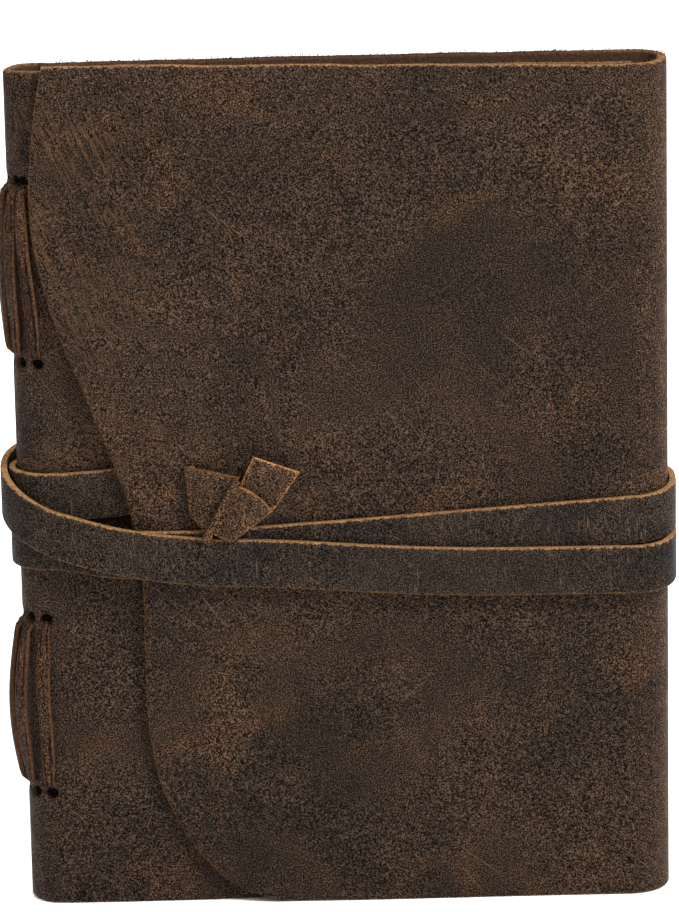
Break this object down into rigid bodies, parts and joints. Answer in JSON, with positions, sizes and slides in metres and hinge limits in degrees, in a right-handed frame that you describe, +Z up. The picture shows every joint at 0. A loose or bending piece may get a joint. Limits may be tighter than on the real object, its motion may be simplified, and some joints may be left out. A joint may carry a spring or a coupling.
{
  "type": "leather notebook cover",
  "caption": "Soft wrap-around leather journal cover with a curved front flap, sewn paper gatherings, leather lacing on the spine and a knotted wrap strap.",
  "frame": {"origin": "middle of the bottom of the whole object's box, where the journal stands on its lower edge", "axes": "+Z up the height of the book, -Y out of the front where the flap lies, +X towards the fore-edge fold and -X towards the laced spine"},
  "size_m": [0.16, 0.0322, 0.203],
  "materials": {
    "hide_leather": "distressed dark brown pull-up leather with raw tan edges",
    "strap_leather": "dark grey-brown strap leather with worn tan edges",
    "lace_leather": "reddish-brown suede-edged lacing",
    "paper": "thick hand-made cream paper"
  },
  "bodies": {
    "root": {"back_cover": "hide_leather", "spine": "hide_leather", "lace_upper_1": "lace_leather", "lace_upper_2": "lace_leather", "lace_upper_3": "lace_leather", "lace_upper_4": "lace_leather", "lace_upper_5": "lace_leather", "lace_lower_1": "lace_leather", "lace_lower_2": "lace_leather", "lace_lower_3": "lace_leather", "lace_lower_4": "lace_leather", "lace_lower_5": "lace_leather", "signature_5": "paper"},
    "fore_edge": {"fore_edge_strip": "hide_leather"},
    "flap": {"flap": "hide_leather", "strap": "strap_leather", "knot_wrap": "strap_leather", "knot_fold": "strap_leather", "knot_roll": "strap_leather", "strap_head": "strap_leather"},
    "front_cover": {"front_cover": "hide_leather"},
    "signature_1": {"signature_1": "paper"},
    "signature_2": {"signature_2": "paper"},
    "signature_3": {"signature_3": "paper"},
    "signature_4": {"signature_4": "paper"},
    "strap_tail": {"strap_tail": "strap_leather"}
  },
  "joints": [
    {"name": "fore_edge_fold", "type": "hinge", "parent": "root", "child": "fore_edge", "pos_m": [0.07619, 0.01036, 0], "axis": [0, 0, 1], "range_deg": [0, 90]},
    {"name": "flap_fold", "type": "hinge", "parent": "fore_edge", "child": "flap", "pos_m": [0.07531, -0.00363, 0], "axis": [0, 0, 1], "range_deg": [0, 90], "deforming": ["flap", "strap", "strap_tail", "knot_wrap", "knot_fold", "knot_roll", "strap_head"]},
    {"name": "front_cover_hinge", "type": "hinge", "parent": "root", "child": "front_cover", "pos_m": [-0.061, -0.00363, 0], "axis": [0, 0, -1], "range_deg": [0, 150]},
    {"name": "signature_1_turn", "type": "hinge", "parent": "root", "child": "signature_1", "pos_m": [-0.061, 0.00007, 0], "axis": [0, 0, -1], "range_deg": [0, 120], "deforming": ["signature_1"]},
    {"name": "signature_2_turn", "type": "hinge", "parent": "root", "child": "signature_2", "pos_m": [-0.061, 0.00217, 0], "axis": [0, 0, -1], "range_deg": [0, 90], "deforming": ["signature_2"]},
    {"name": "signature_3_turn", "type": "hinge", "parent": "root", "child": "signature_3", "pos_m": [-0.061, 0.00428, 0], "axis": [0, 0, -1], "range_deg": [0, 54], "deforming": ["signature_3"]},
    {"name": "signature_4_turn", "type": "hinge", "parent": "root", "child": "signature_4", "pos_m": [-0.061, 0.00637, 0], "axis": [0, 0, -1], "range_deg": [0, 18], "deforming": ["signature_4"]},
    {"name": "strap_tail_lift", "type": "hinge", "parent": "flap", "child": "strap_tail", "pos_m": [-0.0681, 0.01607, 0], "axis": [0, 0, 1], "range_deg": [0, 60]}
  ],
  "couplings": [
    {"joint": "fore_edge_fold", "follows": "flap_fold", "ratio": 1},
    {"joint": "front_cover_hinge", "follows": "flap_fold", "ratio": 1.6667},
    {"joint": "signature_1_turn", "follows": "flap_fold", "ratio": 1.3333},
    {"joint": "signature_2_turn", "follows": "flap_fold", "ratio": 1},
    {"joint": "signature_3_turn", "follows": "flap_fold", "ratio": 0.6},
    {"joint": "signature_4_turn", "follows": "flap_fold", "ratio": 0.2}
  ]
}
